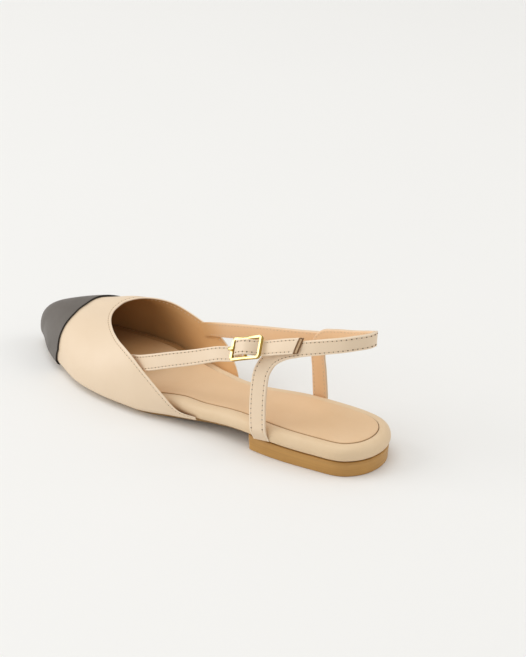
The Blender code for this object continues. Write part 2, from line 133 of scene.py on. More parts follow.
# Heel: one low block of tan stacked leather, its sides sanded flush and waxed so that the lifts show only as
# fine level streaks. It is nailed from inside under the heel seat and ends in a breast with eased corners.
SHOE_LENGTH = 260.0
MIDDLE_STATION = 130.6
MIDDLE_SIDE = -0.8
GAP = 0.3
HEEL_BREAST = 71.0
HEEL_INSET = 0.8
HEEL_TAPER = 0.7
HEEL_EDGE_ROUND = 0.6
BREAST_CORNER_ROUND = 1.8
UPRIGHT_LEAST = 5.0
HEEL_STEPS = 70
HEEL_TAN = (0.54, 0.30, 0.092, 1.0)
HEEL_DEEP = (0.47, 0.25, 0.074, 1.0)
HEEL_STREAK = (0.37, 0.19, 0.055, 1.0)
PlanRow = namedtuple("PlanRow", "station lateral medial")
PLAN = (
    PlanRow(0, 0, 0),
    PlanRow(3, 12.6, 12.6),
    PlanRow(12, 22.2, 22.0),
    PlanRow(30, 26.4, 25.4),
    PlanRow(60, 29.4, 22.0),
    PlanRow(90, 28.4, 15.4),
    PlanRow(120, 31.8, 20.8),
    PlanRow(150, 36.8, 31.6),
    PlanRow(175, 36.4, 37.6),
    PlanRow(197, 32.6, 37.8),
    PlanRow(216, 25.0, 34.6),
    PlanRow(235, 16.0, 28.0),
    PlanRow(250, 5.0, 18.8),
    PlanRow(256, 1.2, 12.4),
    PlanRow(260, -5.6, 5.6),
)
BottomRow = namedtuple("BottomRow", "station height")
BOTTOM = (
    BottomRow(0, 9.2),
    BottomRow(30, 9.2),
    BottomRow(72, 9.8),
    BottomRow(100, 7.6),
    BottomRow(130, 4.2),
    BottomRow(150, 3.0),
    BottomRow(198, 3.0),
    BottomRow(230, 4.8),
    BottomRow(260, 8.6),
)
TOE_STATIONS = (222, 258)
MIDDLE_LINE_INSET = 16.0
MIDDLE_LINE_TIP_INSET = 4.75


def metres(station, side, height):
    """The scene position of a point given in the shoe's own millimetres."""
    return Vector((station - MIDDLE_STATION, side - MIDDLE_SIDE, height)) * 0.001


def smooth(knots, values, at):
    """A smooth curve through the values, level at each peak and trough."""
    last = len(knots) - 1
    at = min(max(at, knots[0]), knots[last])
    i = next(k for k in range(last) if at <= knots[k + 1])

    def slope(k):
        return (values[k + 1] - values[k]) / (knots[k + 1] - knots[k])

    def tangent(k):
        if k in (0, last):
            return slope(0 if k == 0 else last - 1)
        before, after = slope(k - 1), slope(k)
        left, right = knots[k] - knots[k - 1], knots[k + 1] - knots[k]
        return (before * right + after * left) / (left + right) if before * after > 0 else 0.0

    width = knots[i + 1] - knots[i]
    t = (at - knots[i]) / width
    rise = values[i + 1] - values[i]
    start, end = tangent(i) * width, tangent(i + 1) * width
    return values[i] + start * t + (3 * rise - 2 * start - end) * t**2 + (start + end - 2 * rise) * t**3


def ramp(stations, station):
    """0 before the first station, 1 after the second, easing between them."""
    t = min(max((station - stations[0]) / (stations[1] - stations[0]), 0.0), 1.0)
    return t * t * (3 - 2 * t)


@cache
def bottom(station):
    """Height of the lasted bottom: heel seat, arch, level tread and toe spring."""
    return smooth([row.station for row in BOTTOM], [row.height for row in BOTTOM], station)


def plan_angle(station):
    """Angle round the plan: 0 at the back of the heel, pi at the toe, so that both ends come out round."""
    return math.acos(1 - 2 * station / SHOE_LENGTH)


@cache
def plan_edge(angle):
    """Point of the plan's edge; angles past pi run back along the inner side."""
    outer = [plan_angle(row.station) for row in PLAN]
    knots = outer + [2 * math.pi - angle for angle in reversed(outer[:-1])]
    sides = [row.lateral for row in PLAN] + [-row.medial for row in reversed(PLAN[:-1])]
    angle %= 2 * math.pi
    return Vector((SHOE_LENGTH * (1 - math.cos(angle)) / 2, smooth(knots, sides, angle)))


@cache
def inward(angle):
    """Plan direction square to the edge, into the shoe."""
    step = 0.004
    along = (plan_edge(angle + step) - plan_edge(angle - step)).normalized()
    return Vector((along.y, -along.x))


def narrowing_inset(inset, tip_inset):
    """An inset that narrows round the tip of the toe."""
    def amount(angle):
        return inset + (tip_inset - inset) * ramp(TOE_STATIONS, plan_edge(angle).x)

    return amount


def shaped_grid(columns, rows, place, edge_and_groove=None, finish=None):
    """A grid whose points place(u, v) sets, with u and v from 0 to 1.

    Its fourth argument gives a point's shares of pale edge, for rubbing and painted highlight, and of
    groove, for dust and painted shade; finish(u, v) gives a face's material.
    """
    bm = bmesh.new()
    bmesh.ops.create_grid(bm, x_segments=columns, y_segments=rows, size=0.5)
    edge, groove = (bm.verts.layers.float.new(name) for name in ("edge", "groove"))
    for face in bm.faces:
        middle = face.calc_center_median()
        face.material_index = finish(middle.x + 0.5, middle.y + 0.5) if finish else 0
    for vert in bm.verts:
        u, v = vert.co.x + 0.5, vert.co.y + 0.5
        vert.co = place(u, v)
        if edge_and_groove:
            vert[edge], vert[groove] = edge_and_groove(u, v)
    return bm


def close_shell(bm):
    """Merges the ends of a grid that runs round on itself and turns its faces outwards."""
    bmesh.ops.remove_doubles(bm, verts=bm.verts, dist=1e-6)
    bmesh.ops.dissolve_degenerate(bm, edges=bm.edges, dist=1e-7)
    if bm.calc_volume(signed=True) < 0:
        bmesh.ops.reverse_faces(bm, faces=bm.faces)
    return bm


# One line round a plate; share is how far it lies towards the middle line, and height goes by station
Ring = namedtuple("Ring", "inset share height edge groove", defaults=(0.0, 0.0))


def plate(first, last, half_count, rings):
    """A closed plate over the plan from the first station to the last, its rings from underside to top."""
    first_angle, last_angle = plan_angle(first), plan_angle(last)
    cut_ends = {}
    if first > 0:
        cut_ends[0] = first
    if last < SHOE_LENGTH:
        cut_ends[half_count] = last
    columns = 2 * half_count + 2
    middle_inset = narrowing_inset(MIDDLE_LINE_INSET, MIDDLE_LINE_TIP_INSET)

    def ring_at(v):
        return rings[round(v * (len(rings) - 1))]

    def place(u, v):
        column = round(u * columns) % columns
        ring = ring_at(v)
        inner = column > half_count
        step = columns - 1 - column if inner else column
        angle = first_angle + (last_angle - first_angle) * step / half_count
        own = -angle if inner else angle
        point = plan_edge(own) + inward(own) * (ring.inset(angle) if callable(ring.inset) else ring.inset)
        sides = [plan_edge(side) + inward(side) * middle_inset(side) for side in (angle, -angle)]
        point = point.lerp((sides[0] + sides[1]) / 2, ring.share)
        station = cut_ends.get(step, point.x)
        return metres(station, point.y, ring.height(station))

    def edge_and_groove(u, v):
        return ring_at(v).edge, ring_at(v).groove

    return close_shell(shaped_grid(columns, len(rings) - 1, place, edge_and_groove))


def make_piece(name, bm, *finishes, sharp_angle=40):
    """A mesh object at the origin, smooth but for edges sharper than the angle."""
    mesh = bpy.data.meshes.new(name)
    bm.to_mesh(mesh)
    bm.free()
    for finish in finishes:
        mesh.materials.append(finish)
    mesh.shade_smooth()
    mesh.set_sharp_from_angle(angle=math.radians(sharp_angle))
    piece = bpy.data.objects.new(name, mesh)
    bpy.context.scene.collection.objects.link(piece)
    return piece


def round_edges(piece, radius, segments=3):
    bevel = piece.modifiers.new("rounded edges", "BEVEL")
    bevel.width, bevel.segments = radius * 0.001, segments
    bevel.limit_method, bevel.angle_limit = "ANGLE", math.radians(50)


def bevel_edges(bm, edges, radius, segments):
    bmesh.ops.bevel(
        bm, geom=edges, offset=radius, affect="EDGES", segments=segments, profile=0.5, material=-1
    )


def shader_group(name, inputs, outputs):
    """A node group, with its input and output nodes. Sockets are named with their kind and default."""
    group = bpy.data.node_groups.new(name, "ShaderNodeTree")
    for label, kind, value in inputs:
        socket = group.interface.new_socket(label, in_out="INPUT", socket_type=f"NodeSocket{kind}")
        socket.default_value = value
    for label, kind in outputs:
        group.interface.new_socket(label, in_out="OUTPUT", socket_type=f"NodeSocket{kind}")
    return group, group.nodes.new("NodeGroupInput"), group.nodes.new("NodeGroupOutput")


# Dye: soft patches where the colour took unevenly, with a finer cloud in them
dyed, given, put_out = shader_group(
    "dyed tone",
    (
        ("Colour", "Color", (1, 1, 1, 1)),
        ("Deep Colour", "Color", (0, 0, 0, 1)),
        ("Patch Scale", "Float", 40.0),
    ),
    (("Colour", "Color"),),
)
at = add_node(dyed, "TexCoord", {}).outputs["Object"]
patches = add_node(
    dyed, "TexNoise", {"Vector": at, "Scale": given.outputs["Patch Scale"], "Detail": 5.0, "Roughness": 0.62}
)
depth = add_node(dyed, "MapRange", {"Value": patches.outputs["Fac"], "From Min": 0.38, "From Max": 0.72})
tone = mixed(dyed, depth.outputs["Result"], given.outputs["Colour"], given.outputs["Deep Colour"])
dyed.links.new(tone, put_out.inputs["Colour"])

stack, tree, shader = new_material("stacked heel leather")
at = add_node(tree, "TexCoord", {}).outputs["Object"]
level = add_node(tree, "Mapping", {"Vector": at, "Scale": (16.0, 16.0, 800.0)}).outputs["Vector"]
lifts = add_node(tree, "TexNoise", {"Vector": level, "Scale": 1.0, "Detail": 6.0, "Roughness": 0.7})
streaks = lifts.outputs["Fac"]
tone = add_node(
    tree, "Group", {"Colour": HEEL_TAN, "Deep Colour": HEEL_DEEP, "Patch Scale": 60.0}, node_tree=dyed
)
share = add_node(tree, "MapRange", {"Value": streaks, "From Min": 0.45, "From Max": 0.8}).outputs["Result"]
streaked = mixed(tree, share, tone.outputs["Colour"], HEEL_STREAK)
wax = add_node(tree, "MapRange", {"Value": streaks, "To Min": 0.34, "To Max": 0.5})
relief = add_node(tree, "Bump", {"Height": streaks, "Strength": 0.2, "Distance": 0.0002})
shader.inputs["Specular IOR Level"].default_value = 0.3
tree.links.new(streaked, shader.inputs["Base Color"])
tree.links.new(wax.outputs["Result"], shader.inputs["Roughness"])
tree.links.new(relief.outputs["Normal"], shader.inputs["Normal"])


def seat_line(station):
    """Height of the seam between the sole pieces and the lasted bottom."""
    return bottom(station) - GAP


def ground(station):
    return 0.0


heel_foot = HEEL_INSET + HEEL_TAPER
bm = plate(
    0,
    HEEL_BREAST,
    HEEL_STEPS,
    [
        Ring(heel_foot, 1.0, ground),
        Ring(heel_foot, 0.0, ground),
        Ring(HEEL_INSET, 0.0, seat_line),
        Ring(HEEL_INSET, 1.0, seat_line),
    ],
)
breast = metres(HEEL_BREAST, 0, 0).x
breast_corners = [
    edge
    for edge in bm.edges
    if all(vert.co.x > breast - 1e-5 for vert in edge.verts)
    and abs(edge.verts[0].co.z - edge.verts[1].co.z) > UPRIGHT_LEAST * 0.001
]
bevel_edges(bm, breast_corners, BREAST_CORNER_ROUND * 0.001, 5)
heel = make_piece("stacked_heel", bm, stack)
round_edges(heel, HEEL_EDGE_ROUND)
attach(heel, "root")
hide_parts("heel")

# Outsole: a thin sole of smooth brown leather, cut well inside the upper so that hardly any of it shows.
# It is cemented over the turned-in edge of the upper and butts against the heel's breast.
OUTSOLE_THICKNESS = 2.7
OUTSOLE_INSET = 6.0
OUTSOLE_TIP_INSET = 4.2
OUTSOLE_EDGE_ROUND = 0.5
OUTSOLE_STEPS = 90
# A dye's colours: its face, its deeper patches, its paler edge (rubbing and painted highlight) and its
# groove colour (dust and painted shade)
Dye = namedtuple("Dye", "face deep edge groove")


def plain_dye(face, deep):
    """A dye for a surface with no rubbed edge and no groove."""
    return Dye(face, deep, face, deep)


OUTSOLE_DYE = plain_dye((0.42, 0.25, 0.095, 1.0), (0.33, 0.185, 0.07, 1.0))

# Grain: small rounded pebbles between fine valleys, as on smooth calf, with a softer swell under them
grain, given, put_out = shader_group(
    "leather grain", (("Pebble Scale", "Float", 1300.0),), (("Height", "Float"), ("Swell", "Float"))
)
at = add_node(grain, "TexCoord", {}).outputs["Object"]
swell = add_node(grain, "TexNoise", {"Vector": at, "Scale": 160.0, "Detail": 3.0})
drift = add_node(grain, "VectorMath", {0: swell.outputs["Color"], "Scale": 0.0012}, operation="SCALE")
drifted = add_node(grain, "VectorMath", {0: at, 1: drift.outputs["Vector"]}, operation="ADD")
pebbles = add_node(
    grain,
    "TexVoronoi",
    {"Vector": drifted.outputs["Vector"], "Scale": given.outputs["Pebble Scale"]},
    feature="SMOOTH_F1",
)
rounded = add_node(grain, "Math", {0: pebbles.outputs["Distance"], 1: 2.0}, operation="POWER")
lowered = add_node(
    grain, "Math", {0: swell.outputs["Fac"], 1: rounded.outputs["Value"]}, operation="SUBTRACT"
)
grain.links.new(lowered.outputs["Value"], put_out.inputs["Height"])
grain.links.new(swell.outputs["Fac"], put_out.inputs["Swell"])

# Wear and painted light: edges turn paler, partly from rubbing and partly as a painted highlight where the
# folded edges catch the light; grooves turn darker with dust and painted shade, and the throat, the forepart
# and the rim inside the vamp take the groove colour as painted shade too.
wear_and_painted_light, given, put_out = shader_group(
    "wear and painted light",
    (
        ("Colour", "Color", (1, 1, 1, 1)),
        ("Edge Colour", "Color", (1, 1, 1, 1)),
        ("Groove Colour", "Color", (0, 0, 0, 1)),
    ),
    (("Colour", "Color"),),
)
edge_share = add_node(wear_and_painted_light, "Attribute", {}, attribute_name="edge").outputs["Fac"]
groove_share = add_node(wear_and_painted_light, "Attribute", {}, attribute_name="groove").outputs["Fac"]
rubbed_and_highlit = mixed(wear_and_painted_light, edge_share, given.outputs["Colour"], given.outputs["Edge Colour"])
dusty_and_shaded = mixed(wear_and_painted_light, groove_share, rubbed_and_highlit, given.outputs["Groove Colour"])
wear_and_painted_light.links.new(dusty_and_shaded, put_out.inputs["Colour"])


def leather(name, dye, patch_scale, pebble_scale, relief_depth, gloss, shine=0.45):
    """A dyed leather.

    The depth of its relief is in millimetres, gloss is its least and greatest roughness, and shine is how
    strongly it reflects.
    """
    made, tree, shader = new_material(name)
    shader.inputs["Specular IOR Level"].default_value = shine
    tones = {"Colour": dye.face, "Deep Colour": dye.deep, "Patch Scale": patch_scale}
    tone = add_node(tree, "Group", tones, node_tree=dyed)
    rub = add_node(
        tree,
        "Group",
        {"Colour": tone.outputs["Colour"], "Edge Colour": dye.edge, "Groove Colour": dye.groove},
        node_tree=wear_and_painted_light,
    )
    skin = add_node(tree, "Group", {"Pebble Scale": pebble_scale}, node_tree=grain)
    spread = {"From Min": 0.3, "From Max": 0.7, "To Min": gloss[0], "To Max": gloss[1]}
    polish = add_node(tree, "MapRange", {"Value": skin.outputs["Swell"], **spread})
    relief = add_node(
        tree, "Bump", {"Height": skin.outputs["Height"], "Strength": 0.6, "Distance": relief_depth * 0.001}
    )
    tree.links.new(rub.outputs["Colour"], shader.inputs["Base Color"])
    tree.links.new(polish.outputs["Result"], shader.inputs["Roughness"])
    tree.links.new(relief.outputs["Normal"], shader.inputs["Normal"])
    return made


def tread_line(station):
    return seat_line(station) - OUTSOLE_THICKNESS


outsole_edge = narrowing_inset(OUTSOLE_INSET, OUTSOLE_TIP_INSET)
outsole_rings = [
    Ring(outsole_edge, 1.0, tread_line),
    Ring(outsole_edge, 0.0, tread_line),
    Ring(outsole_edge, 0.0, seat_line),
    Ring(outsole_edge, 1.0, seat_line),
]
outsole = make_piece(
    "leather_outsole",
    plate(HEEL_BREAST + GAP, SHOE_LENGTH, OUTSOLE_STEPS, outsole_rings),
    leather("outsole leather", OUTSOLE_DYE, 30.0, 900.0, 0.03, (0.45, 0.6)),
)
round_edges(outsole, OUTSOLE_EDGE_ROUND)
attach(outsole, "root")
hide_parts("outsole")

# Footbed: a padded board wrapped in beige leather, full and round at its rim, tucked in under the heel seat.
# The wrap is drawn over the rim by hand and cemented underneath; its top is left low for the sock.
RimRow = namedtuple("RimRow", "inset rise")
FOOTBED_RIM = (
    RimRow(2.2, 0.0),
    RimRow(0.6, 1.2),
    RimRow(0.0, 3.6),
    RimRow(0.5, 6.0),
    RimRow(1.9, 7.7),
    RimRow(4.0, 8.5),
    RimRow(6.3, 8.5),
    RimRow(6.6, 7.6),
)
RIM_LINES = 28
FOOTBED_STEPS = 110
RECESS_MIDDLE_RISE = 7.2
FOREPART_THICKNESS = 0.72
SLIMMING_STATIONS = (128, 165)
VAMP_CLEARANCE = 2.3
VAMP_CLEARANCE_STATIONS = (94, 124)
MARGIN_CLEARANCE = 2.0
MARGIN_CLEARANCE_STATIONS = (104, 122)
RIM_TIP_SHARE = 0.25
# The rim's groove colour darkens its inner lip and the recess under the sock and, as painted shade, the rim
# forwards of the shade stations, where it lies inside the vamp.
RIM_GROOVE = 0.5
RIM_GROOVE_REACH = 0.6
RIM_SHADE = 0.95
RIM_SHADE_STATIONS = (124, 148)
RIM_DYE = Dye(
    (0.765, 0.585, 0.385, 1.0), (0.735, 0.550, 0.350, 1.0), (0.82, 0.66, 0.49, 1.0), (0.30, 0.15, 0.05, 1.0)
)


def footbed_height(rise):
    """Height of a line on the footbed; it is slimmer in the forepart and clears the turned-in margin."""
    def height(station):
        thickness = 1 - (1 - FOREPART_THICKNESS) * ramp(SLIMMING_STATIONS, station)
        lift = MARGIN_CLEARANCE * ramp(MARGIN_CLEARANCE_STATIONS, station)
        return bottom(station) + lift + rise * thickness

    return height


def footbed_inset(inset, further=0.0):
    """Inset of a line on the footbed, further in where the vamp's wall stands beside it."""
    narrowed = narrowing_inset(inset, inset * RIM_TIP_SHARE)

    def amount(angle):
        clearance = VAMP_CLEARANCE * ramp(VAMP_CLEARANCE_STATIONS, plan_edge(angle).x)
        return narrowed(angle) + clearance + further

    return amount


def shade_forepart(bm, stations, most):
    """Paints shade into a piece forwards of the stations, where it lies in shade inside the vamp."""
    groove = bm.verts.layers.float["groove"]
    for vert in bm.verts:
        vert[groove] = max(vert[groove], most * ramp(stations, vert.co.x * 1000 + MIDDLE_STATION))


rim_knots = list(range(len(FOOTBED_RIM)))
footbed_rings = [Ring(footbed_inset(FOOTBED_RIM[0].inset), 1.0, footbed_height(0.0))]
for line in range(RIM_LINES + 1):
    along_rim = rim_knots[-1] * line / RIM_LINES
    inset = smooth(rim_knots, [row.inset for row in FOOTBED_RIM], along_rim)
    rise = smooth(rim_knots, [row.rise for row in FOOTBED_RIM], along_rim)
    groove = RIM_GROOVE * ramp((rim_knots[-1] - RIM_GROOVE_REACH, rim_knots[-1]), along_rim)
    footbed_rings.append(Ring(footbed_inset(inset), 0.0, footbed_height(rise), 0.0, groove))
recess_edge = footbed_inset(FOOTBED_RIM[-1].inset)
footbed_rings.append(Ring(recess_edge, 1.0, footbed_height(RECESS_MIDDLE_RISE), 0.0, 1.0))
bm = plate(0, SHOE_LENGTH, FOOTBED_STEPS, footbed_rings)
shade_forepart(bm, RIM_SHADE_STATIONS, RIM_SHADE)
rim_leather = leather("rim leather", RIM_DYE, 45.0, 1500.0, 0.035, (0.38, 0.52), 0.3)
footbed = make_piece("wrapped_footbed", bm, rim_leather)
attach(footbed, "root")
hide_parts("footbed")

# Sock: a thin sheet of tan lining leather over the whole footbed, its cut edge a little inside the rim.
# It is cemented in last and lies slightly proud, with a turned-down edge that reads as a fine line.
SOCK_MARGIN = 0.35
SOCK_THICKNESS = 0.8
SOCK_PROUD = 0.25
# Painted shade: the sock darkens towards its groove colour forwards of these stations, inside the vamp; the
# same colour darkens its turned-down edge.
SOCK_SHADE = 0.9
SOCK_SHADE_STATIONS = (148, 192)
SOCK_DYE = Dye(
    (0.770, 0.545, 0.335, 1.0), (0.740, 0.510, 0.300, 1.0), (0.79, 0.57, 0.37, 1.0), (0.34, 0.17, 0.06, 1.0)
)
SockRow = namedtuple("SockRow", "further share rise groove")
low_edge = FOOTBED_RIM[-1].rise + GAP
low_middle = RECESS_MIDDLE_RISE + GAP
top_edge = low_edge + SOCK_THICKNESS + SOCK_PROUD
top_middle = low_middle + SOCK_THICKNESS
SOCK_SECTION = (
    SockRow(0.0, 1.0, low_middle, 0),
    SockRow(0.0, 0.0, low_edge, 1),
    SockRow(0.0, 0.0, top_edge - 0.45, 0.5),
    SockRow(0.1, 0.0, top_edge - 0.2, 0.15),
    SockRow(0.35, 0.0, top_edge - 0.05, 0),
    SockRow(0.8, 0.0, top_edge, 0),
    SockRow(1.6, 0.0, top_edge, 0),
    SockRow(1.6, 0.3, 0.75 * top_edge + 0.25 * top_middle, 0),
    SockRow(1.6, 0.65, 0.3 * top_edge + 0.7 * top_middle, 0),
    SockRow(1.6, 1.0, top_middle, 0),
)

sock_rings = []
for row in SOCK_SECTION:
    inset = footbed_inset(FOOTBED_RIM[-1].inset, SOCK_MARGIN + row.further)
    sock_rings.append(Ring(inset, row.share, footbed_height(row.rise), 0.0, row.groove))
bm = plate(0, SHOE_LENGTH, FOOTBED_STEPS, sock_rings)
shade_forepart(bm, SOCK_SHADE_STATIONS, SOCK_SHADE)
sock_leather = leather("tan sock leather", SOCK_DYE, 28.0, 1700.0, 0.03, (0.45, 0.6), 0.25)
sock = make_piece("tan_sock", bm, sock_leather, sharp_angle=70)
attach(sock, "root")
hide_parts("sock")

# Vamp: one piece of smooth beige calf over a tan leather lining, lasted over the toe and turned in under the
# sole. Its topline is folded over and sewn down with one row of stitches, and it thins to two rear corners.
UPPER_WALL = 1.6
RibRow = namedtuple("RibRow", "inner foot_station edge_station edge_side edge_height lean margin turn_in")
VAMP = (
    RibRow(True, 114, 114.4, -19.7, 10.3, 90, 1.8, 1.2),
    RibRow(True, 121, 119.9, -23.3, 17.6, 88, 4, 2.2),
    RibRow(True, 133, 132.6, -29.3, 26.9, 88, 7, 3),
    RibRow(True, 153, 153.3, -32.0, 34.2, 86, 8, 3),
    RibRow(True, 172, 172.5, -31.4, 39.6, 72, 8, 3),
    RibRow(True, 191, 186.0, -28.0, 41.0, 42, 8, 3),
    RibRow(True, 212, 195.5, -22.5, 40.2, 2, 7, 3),
    RibRow(True, 237, 201.0, -14.0, 38.2, -9, 5.5, 3),
    RibRow(True, 260, 199.5, -4.5, 36.9, 6, 4.5, 3),
    RibRow(False, 240, 192.5, 5.5, 36.3, 10, 5.5, 3),
    RibRow(False, 213, 181.0, 15.5, 35.6, 24, 7, 3),
    RibRow(False, 187, 168.0, 24.0, 35.6, 46, 8, 3),
    RibRow(False, 163, 155.0, 29.6, 33.4, 68, 8, 3),
    RibRow(False, 144, 143.0, 32.6, 27.6, 84, 8, 3),
    RibRow(False, 129, 128.4, 34.2, 18.8, 88, 6, 3),
    RibRow(False, 118, 118.0, 32.8, 10.8, 90, 3, 2.2),
    RibRow(False, 107, 106.8, 30.2, 9.2, 90, 1.8, 1.2),
)
SKIVED_RIBS = 0.12
SKIVED_SHARE = 0.3
MARGIN_SHARE = 0.12
TURN_IN_SHARE = 0.28
WALL_START = MARGIN_SHARE + TURN_IN_SHARE
SHORT_RIB = 8.0
LOW_FULLNESS = 0.33
HIGH_FULLNESS = 0.40
INWARD_PULL = 2.0
HALVINGS = 18
VAMP_COLUMNS = 260
FACE_LINES = 40
FOLD_TURNS = 8
FOLD_REACH = 6.0
FOLD_SHARE = 0.62
# The fold over the topline is painted paler, from rubbing and as a painted highlight along the edge.
FOLD_EDGE = 0.7
LINING_EDGE = 0.4
LINING_TURN = 6
LINING_LINES = (1.2, 1.8, 2.6, 3.6, FOLD_REACH - 1)
# Lines under the topline: the stitch channel dips and is darkened with dust and painted shade, and the line
# at 1.2 mm is a little paler, from rubbing and as a painted highlight.
SeamRow = namedtuple("SeamRow", "under dip edge groove")
SEAM_LINES = (
    SeamRow(FOLD_REACH, 0, 0, 0),
    SeamRow(4.4, 0, 0, 0),
    SeamRow(3.4, 0, 0, 0),
    SeamRow(2.9, 0.01, 0, 0),
    SeamRow(2.4, 0.04, 0, 0.04),
    SeamRow(2.1, 0.06, 0, 0.1),
    SeamRow(1.8, 0.03, 0, 0.04),
    SeamRow(1.2, 0, 0.15, 0),
)
# Painted shade on the lining: it darkens towards its groove colour deep in the throat and, on the outer
# side, towards the rear corner, where the slit lies in shade.
THROAT_STATIONS = (140, 195)
THROAT_SHADE = 0.62
CORNER_STATIONS = (118, 145)
CORNER_SHADE = 0.7
UPPER_DYE = Dye(
    (0.800, 0.640, 0.468, 1.0), (0.780, 0.615, 0.440, 1.0), (0.84, 0.69, 0.52, 1.0), (0.60, 0.43, 0.27, 1.0)
)
# The lining's groove colour is the painted shade of the throat and of the outer rear corner.
LINING_DYE = Dye(
    (0.80, 0.485, 0.225, 1.0), (0.76, 0.445, 0.195, 1.0), (0.80, 0.55, 0.33, 1.0), (0.30, 0.135, 0.03, 1.0)
)


@cache
def vamp_rib(u):
    """The values of the vamp's table at a place round it, with the rib's foot as an angle of the plan."""
    knots = list(range(len(VAMP)))
    at = u * knots[-1]
    angles = [
        2 * math.pi - plan_angle(row.foot_station) if row.inner else plan_angle(row.foot_station)
        for row in VAMP
    ]
    angle = smooth(knots, angles, at)
    columns = ("edge_station", "edge_side", "edge_height", "lean", "margin", "turn_in")
    return angle, [smooth(knots, [getattr(row, column) for row in VAMP], at) for column in columns]


def vamp_point(u, v):
    """Point of the vamp's outer face: v runs from the margin under the shoe, round it, to the topline."""
    angle, (edge_station, edge_side, edge_height, lean, margin, turn_in) = vamp_rib(u)
    foot, into = plan_edge(angle), inward(angle)
    if v < MARGIN_SHARE:
        inset = margin + (turn_in - margin) * v / MARGIN_SHARE
        point = foot + into * inset
        return Vector((point.x, point.y, bottom(point.x)))
    if v < WALL_START:
        turn = math.pi / 2 * (v - MARGIN_SHARE) / TURN_IN_SHARE
        point = foot + into * turn_in * (1 - math.sin(turn))
        return Vector((point.x, point.y, bottom(point.x) + turn_in * (1 - math.cos(turn))))
    t = (v - WALL_START) / (1 - WALL_START)
    start = Vector((foot.x, foot.y, bottom(foot.x) + turn_in))
    end = Vector((edge_station, edge_side, edge_height))
    reach = (end - start).length
    level = (end - start).to_2d() + into * INWARD_PULL
    level.normalize()
    slope = math.radians(lean)
    arrival = Vector((level.x * math.cos(slope), level.y * math.cos(slope), math.sin(slope)))
    low_handle = start + Vector((0, 0, 1)) * reach * LOW_FULLNESS
    high_handle = end - arrival * reach * HIGH_FULLNESS
    weights = ((1 - t) ** 3, 3 * t * (1 - t) ** 2, 3 * t**2 * (1 - t), t**3)
    return sum((p * w for p, w in zip((start, low_handle, high_handle, end), weights)), Vector((0, 0, 0)))


@cache
def vamp_frame(u, v):
    """Point of the vamp's outer face, with the directions up it and out of it."""
    step = 0.002
    low_u, high_u = max(u - step, 0.0), min(u + step, 1.0)
    low_v, high_v = max(v - step, 0.0), min(v + step, 1.0)
    along = (vamp_point(high_u, v) - vamp_point(low_u, v)).normalized()
    up = (vamp_point(u, high_v) - vamp_point(u, low_v)).normalized()
    return vamp_point(u, v), up, along.cross(up).normalized()


def seek(start, stop, holds):
    """The place up to which a condition holds on the way from start to stop, found by halving."""
    for _ in range(HALVINGS):
        middle = (start + stop) / 2
        if holds(middle):
            start = middle
        else:
            stop = middle
    return start


@cache
def below_topline(u, distance):
    """The v of the point a distance under the topline, or nearer to it on the short ribs at the corners."""
    top = vamp_point(u, 1.0)
    distance *= min(1.0, (top - vamp_point(u, WALL_START)).length / SHORT_RIB)
    return seek(1.0, WALL_START, lambda v: (top - vamp_point(u, v)).length <= distance)


def vamp_wall(u, under):
    """Thickness of the upper and its lining a distance under the topline.

    It is skived towards the topline and towards the rear corners.
    """
    corner = SKIVED_SHARE + (1 - SKIVED_SHARE) * ramp((0, SKIVED_RIBS), min(u, 1 - u))
    return UPPER_WALL * corner * (FOLD_SHARE + (1 - FOLD_SHARE) * ramp((0, FOLD_REACH), under))


# A line of the section lies at a share of the face, a distance under the topline, or a turn round the fold
VampLine = namedtuple(
    "VampLine", "share under turn dip edge groove lining", defaults=(None, None, 0.0, 0, 0, 0, False)
)
face_shares = [line / FACE_LINES for line in range(FACE_LINES)]
vamp_lines = [VampLine(share=share) for share in face_shares]
vamp_lines += [VampLine(**row._asdict()) for row in SEAM_LINES]
for turn in range(FOLD_TURNS + 1):
    edge = FOLD_EDGE if turn < LINING_TURN else LINING_EDGE
    vamp_lines.append(VampLine(turn=math.pi * turn / FOLD_TURNS, edge=edge, lining=turn > LINING_TURN))
vamp_lines += [VampLine(under=under, turn=math.pi, lining=True) for under in LINING_LINES]
vamp_lines += [VampLine(share=share, turn=math.pi, lining=True) for share in reversed(face_shares)]
vamp_lines.append(vamp_lines[0])


def vamp_line(v):
    return vamp_lines[int(v * (len(vamp_lines) - 1) + 0.001)]


def line_height(u, line):
    """The v of a line of the section on the rib at u."""
    if line.share is not None:
        return line.share * below_topline(u, FOLD_REACH)
    return below_topline(u, UPPER_WALL * FOLD_SHARE / 2 if line.under is None else line.under)


def vamp_place(u, v):
    line = vamp_line(v)
    point, up, out = vamp_frame(u, line_height(u, line))
    if line.share is None and line.under is None:
        fold = up * math.sin(line.turn) - out * (1 - math.cos(line.turn))
        return metres(*(point + fold * vamp_wall(u, 0) / 2))
    wall = vamp_wall(u, FOLD_REACH if line.under is None else line.under)
    return metres(*(point - out * (wall if line.lining else line.dip)))


def vamp_edge_and_groove(u, v):
    line = vamp_line(v)
    if not line.lining:
        return line.edge, line.groove
    # Painted shade: the lining darkens deep in the throat and, on the outer side, towards the rear corner
    point = vamp_point(u, line_height(u, line))
    shade = THROAT_SHADE * ramp(THROAT_STATIONS, point.x)
    if point.y > 0:
        shade = max(shade, CORNER_SHADE * (1 - ramp(CORNER_STATIONS, point.x)))
    return line.edge, max(line.groove, shade)


def vamp_finish(u, v):
    return 1 if vamp_line(v).lining else 0


